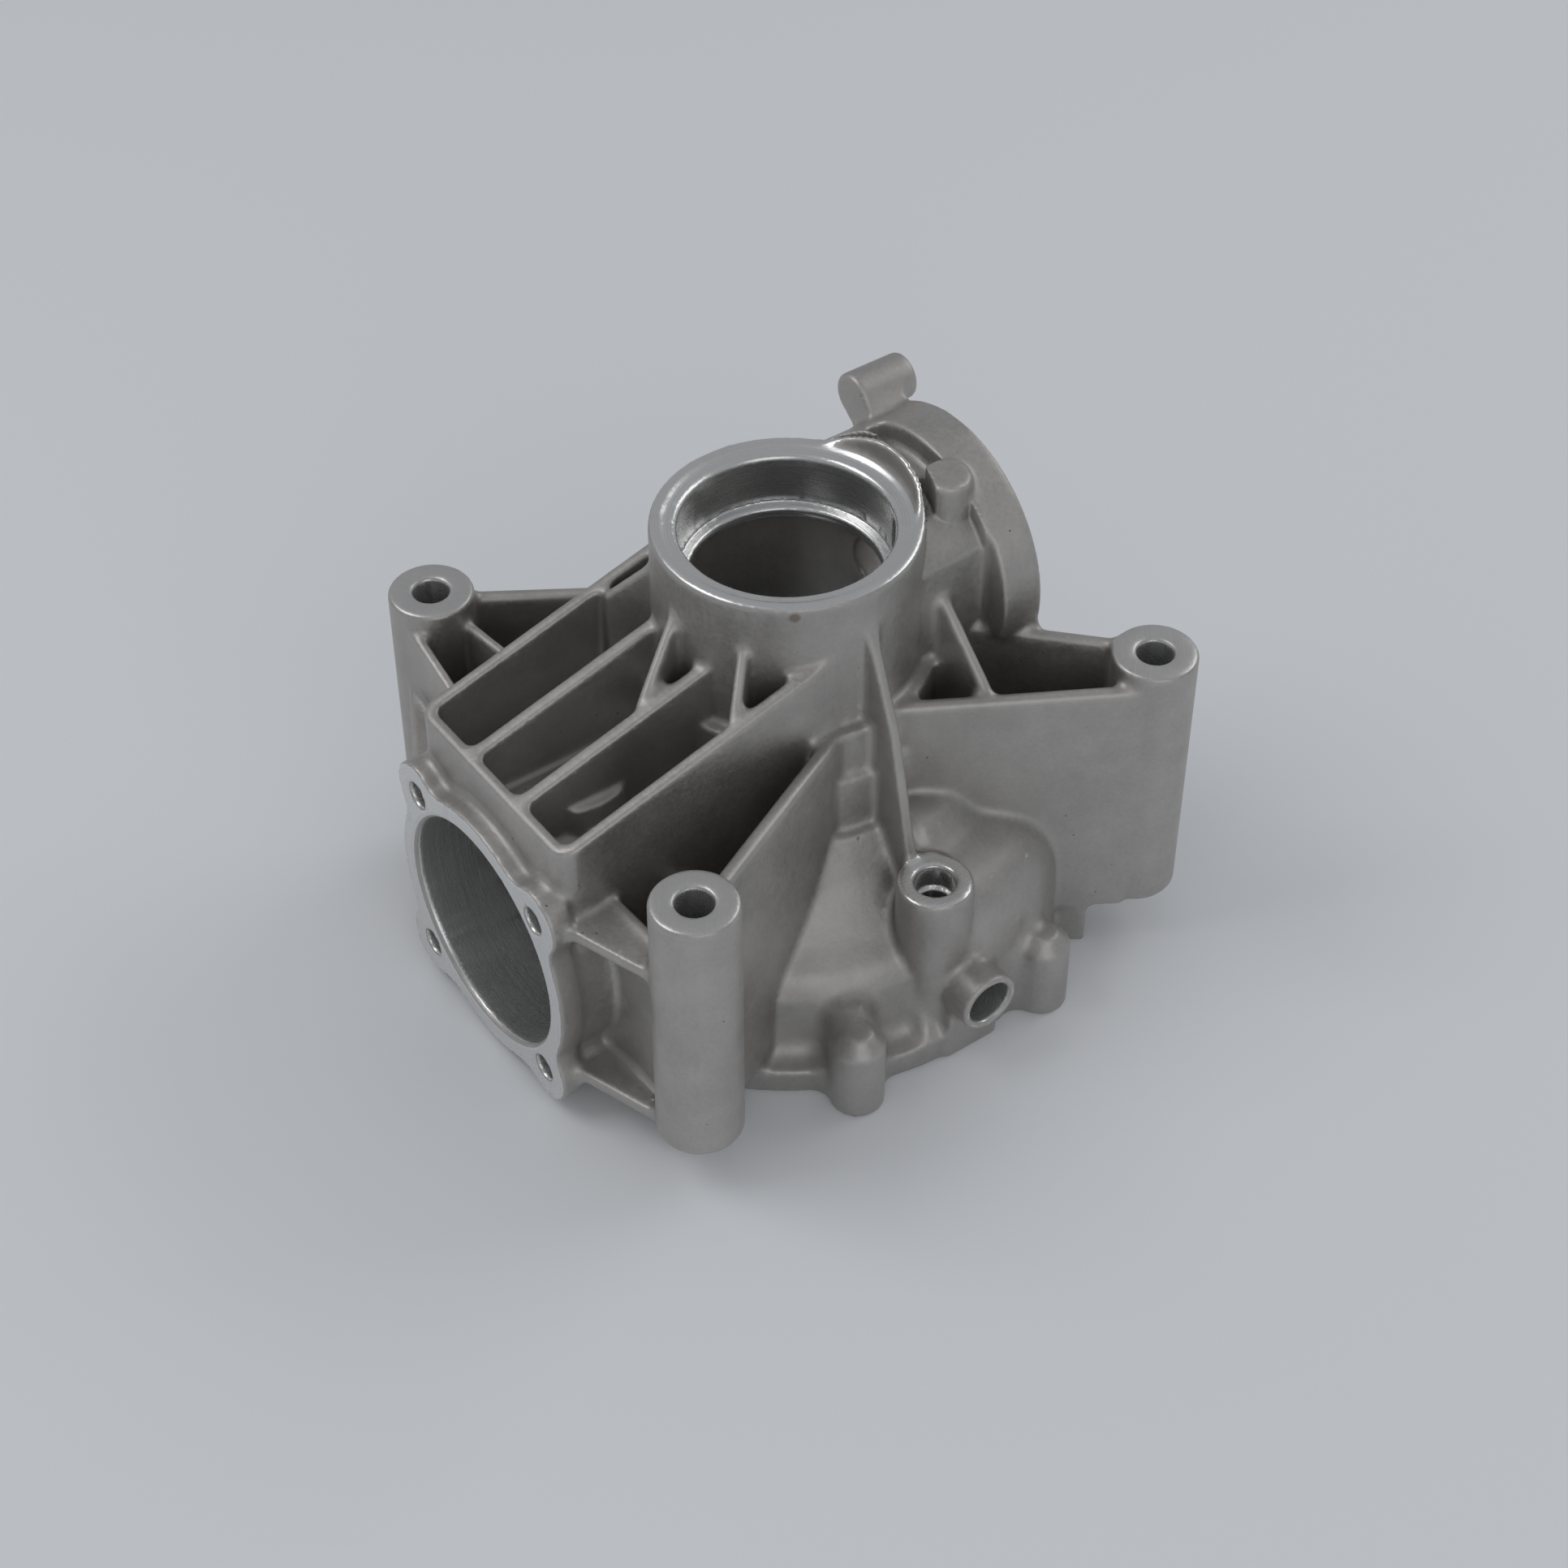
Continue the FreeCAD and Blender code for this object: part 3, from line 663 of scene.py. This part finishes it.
# ------------------------------------------------------------------ finish
def within(first, second, centre, radius):
    """1 inside a circle on two coordinates; its centre and radius are in millimetres."""
    a = first - centre[0] * MM
    b = second - centre[1] * MM
    return (a * a + b * b) < (radius * MM) ** 2


def machined_areas(x, y, z, nx, ny, nz):
    """1 on every turned, milled or drilled surface and 0 on the casting."""
    axis = (0.0, 0.0)
    square_x = x.absolute()
    square_z = (z - TUBE_Z * MM).absolute()
    facing = 0.75
    areas = [
        # walls of the bores and holes
        within(x, y, axis, COLLAR_MOUTH_R + MASK_REACH) * (z > 103.5 * MM),
        within(x, z, (0.0, TUBE_Z), TUBE_MOUTH_R + MASK_REACH) * (y < -53.5 * MM),
        within(x, z, (0.0, DRUM_Z), DRUM_RECESS_R + MASK_REACH) * (y > 41.5 * MM),
        within(square_x, square_z, (FLANGE_X, FLANGE_RISE), FLANGE_HOLE_R + MASK_REACH) * (y < -70.0 * MM),
        within(x, y, PLUG, PLUG_R + MASK_REACH) * (z > (PLUG_LEVELS[0] - 0.5) * MM),
        within(y, z, PORT, PORT_R + MASK_REACH) * (x > 56.0 * MM),
        # faces: flange, collar, plug boss, port and cover joint
        (y < (FRONT_Y + MASK_REACH) * MM) * (ny < -facing),
        (z > 121.5 * MM) * (nz > facing) * within(x, y, axis, 33.2),
        within(x, y, PLUG, 9.8) * (z > (PLUG_LEVELS[1] - 0.3) * MM) * (nz > facing),
        (x > (PORT_REACH[1] - MASK_REACH) * MM) * (nx > facing),
        (z < 0.3 * MM) * (nz < -facing),
    ]
    for centre in POSTS:
        areas.append(within(x, y, centre, POST_HOLE_R + MASK_REACH))
        areas.append(within(x, y, centre, 11.2) * (z > (POST_LEVELS[1] - 0.3) * MM) * (nz > facing) * 0.5)
    total = areas[0]
    for area in areas[1:]:
        total = total.maximum(area)
    return total


def aluminium(settings):
    """Cast aluminium with machined areas, grain and specks, its edges paled by painted highlight and by
    wear, its inner corners darkened by painted shade.
    """
    material = bpy.data.materials.new("cast_aluminium")
    graph = Graph(material)
    place, (x, y, z) = graph.place()
    nx, ny, nz = graph.facing()
    cut = machined_areas(x, y, z, nx, ny, nz)
    # Convex bend, used below for a painted highlight and wear on the edges.
    crest = graph.attribute("crest")
    # Concave bend, used below for painted shade in the inner corners.
    root = graph.attribute("root")

    cloud = graph.noise(place, 34.0, 4.0)
    patch = graph.noise(place, 120.0, 4.0, 0.6)
    grain = graph.noise(place, 900.0, 3.0, 0.6)
    fine = graph.noise(place, 2600.0, 2.0, 0.6)
    specks = graph.cells(place, 230.0)

    # Casting: cloudy tone, roots darkened as painted shade, crests paled partly as painted highlight and
    # partly as wear, and a few pits.
    cast = tuple(settings.cast_colour)
    dark = tuple(c * 0.84 for c in cast)
    light = tuple(min(1.0, c * 1.14) for c in cast)
    tone = (cloud * 0.45 + patch * 0.25 + grain * 0.30).ramp(0.30, 0.70)
    colour = graph.mix(tone, dark, light)
    # Convex crests paled towards a lighter grey: partly painted highlight, partly wear on the edges.
    highlight_and_wear_pale = tuple(min(1.0, c * 1.35) for c in cast)
    colour = graph.mix((crest * 0.5).clamped(), colour, highlight_and_wear_pale)
    # Concave roots darkened to 45 %: painted shade in the inner corners and fillets.
    colour = graph.mix((root * 0.55).clamped(), colour, tuple(c * 0.45 for c in cast))
    spot = graph.node("ShaderNodeVectorMath", operation="DISTANCE")
    graph.feed(spot.inputs[0], place)
    spot.inputs[1].default_value = STAIN_PLACE
    spot = Socket(graph, spot.outputs["Value"]) + (patch - 0.5) * 0.0016
    stained = 1.0 - spot.ramp(0.0007, 0.0017)
    colour = graph.mix(stained * 0.7, colour, tuple(settings.stain_colour))
    pit = (specks < 0.055) * graph.noise(place, 55.0, 1.0).ramp(0.56, 0.60)
    colour = graph.mix(pit * 0.8, colour, tuple(c * 0.15 for c in cast))

    # Machined: rings about the nearer bore axis.
    about_collar = (x * x + y * y).root() + z
    raised = z - TUBE_Z * MM
    about_tube = (x * x + raised * raised).root() + y
    front = y < -0.05
    turn = about_collar * (1.0 - front) + about_tube * front
    marks = graph.node("ShaderNodeTexNoise", noise_dimensions="1D")
    graph.feed(marks.inputs["W"], turn)
    marks.inputs["Scale"].default_value = 2400.0
    marks.inputs["Detail"].default_value = 3.0
    marks = Socket(graph, marks.outputs[0])
    bright = tuple(settings.cut_colour)
    cut_colour = graph.mix(marks.ramp(0.3, 0.7), tuple(c * 0.92 for c in bright), bright)
    cut_colour = graph.mix(patch.ramp(0.55, 0.8) * 0.4, cut_colour, tuple(c * 0.7 for c in bright))
    colour = graph.mix(cut, colour, cut_colour)

    rough = 0.50 + (cloud - 0.5) * 0.22 + (grain - 0.5) * 0.22 - crest * 0.05
    rough_cut = 0.27 + (marks - 0.5) * 0.14
    rough = rough * (1.0 - cut) + rough_cut * cut

    peel = graph.noise(place, 330.0, 2.0, 0.5)
    height = peel * 0.5 + grain * 0.35 + fine * 0.15 - pit * 0.5
    height = height * (1.0 - cut) + marks * cut * 0.035
    normal = graph.bump(height, 0.00022, 0.55)
    graph.finish(Base_Color=colour, Roughness=rough, Normal=normal, Metallic=0.9)
    return material


# ------------------------------------------------------------------ operators
class CASTING_OT_skin(bpy.types.Operator):
    """Blended casting over the machined model."""

    bl_idname = "casting.skin"
    bl_label = "Casting skin"

    def execute(self, context):
        settings = context.scene.casting
        skin = build_skin(settings)
        skin.data.materials.clear()
        skin.data.materials.append(aluminium(settings))
        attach(skin, "root")
        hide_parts(NODE)
        return {"FINISHED"}


def plate(name, corners):
    """Flat face on the given corners."""
    mesh = bpy.data.meshes.new(name)
    mesh.from_pydata(corners, [], [tuple(range(len(corners)))])
    made = bpy.data.objects.new(name, mesh)
    bpy.context.scene.collection.objects.link(made)
    return made


def area_light(name, place, target, size, power):
    """Square soft light that looks from one point at another."""
    lamp = bpy.data.lights.new(name, "AREA")
    lamp.shape = "RECTANGLE"
    lamp.size = size[0]
    lamp.size_y = size[1]
    lamp.energy = power
    made = bpy.data.objects.new(name, lamp)
    made.location = place
    made.rotation_euler = (Vector(target) - Vector(place)).to_track_quat("-Z", "Y").to_euler()
    bpy.context.scene.collection.objects.link(made)
    return made


class CASTING_OT_studio(bpy.types.Operator):
    """Floor, lights, surroundings and camera."""

    bl_idname = "casting.studio"
    bl_label = "Studio"

    def execute(self, context):
        scene = context.scene
        settings = scene.casting
        reach = FLOOR_REACH
        corners = [(-reach, -reach, 0), (reach, -reach, 0), (reach, reach, 0), (-reach, reach, 0)]
        floor = plate("floor", corners)
        material = bpy.data.materials.new("floor_paper")
        graph = Graph(material)
        graph.finish(Base_Color=tuple(settings.floor_colour), Roughness=0.9)
        floor.data.materials.append(material)

        world = bpy.data.worlds.new("studio")
        world.use_nodes = True
        backdrop = world.node_tree.nodes["Background"]
        backdrop.inputs["Color"].default_value = BACKDROP
        backdrop.inputs["Strength"].default_value = BACKDROP_STRENGTH
        scene.world = world

        key = settings.key_power
        area_light("key", (-0.55, -0.75, 1.25), LOOK_AT, (0.8, 0.8), key)
        area_light("fill", (1.1, -0.35, 0.7), LOOK_AT, (0.9, 0.9), key * 0.45)
        area_light("back", (0.1, 1.1, 0.9), LOOK_AT, (1.0, 0.5), key * 0.55)

        camera = bpy.data.cameras.new("camera")
        camera.lens = CAMERA_LENS
        camera.sensor_width = 36.0
        camera.clip_end = 20.0
        viewer = bpy.data.objects.new("camera", camera)
        viewer.location = CAMERA_PLACE
        viewer.rotation_euler = [math.radians(angle) for angle in CAMERA_TURN]
        scene.collection.objects.link(viewer)
        scene.camera = viewer
        scene.view_settings.view_transform = "Standard"
        return {"FINISHED"}


class CASTING_PT_panel(bpy.types.Panel):
    """Sizes, colours and the two steps of the dressing."""

    bl_idname = "CASTING_PT_panel"
    bl_label = "Casting"
    bl_space_type = "VIEW_3D"
    bl_region_type = "UI"
    bl_category = "Casting"

    def draw(self, context):
        settings = context.scene.casting
        for key in CastingSettings.__annotations__:
            self.layout.prop(settings, key)
        self.layout.operator("casting.skin")
        self.layout.operator("casting.studio")


CLASSES = (CastingSettings, CASTING_OT_skin, CASTING_OT_studio, CASTING_PT_panel)


def register():
    for kind in CLASSES:
        bpy.utils.register_class(kind)
    bpy.types.Scene.casting = PointerProperty(type=CastingSettings)


def unregister():
    del bpy.types.Scene.casting
    for kind in reversed(CLASSES):
        bpy.utils.unregister_class(kind)


def main():
    register()
    bpy.ops.casting.skin()
    bpy.ops.casting.studio()


if __name__ == "__main__":
    main()
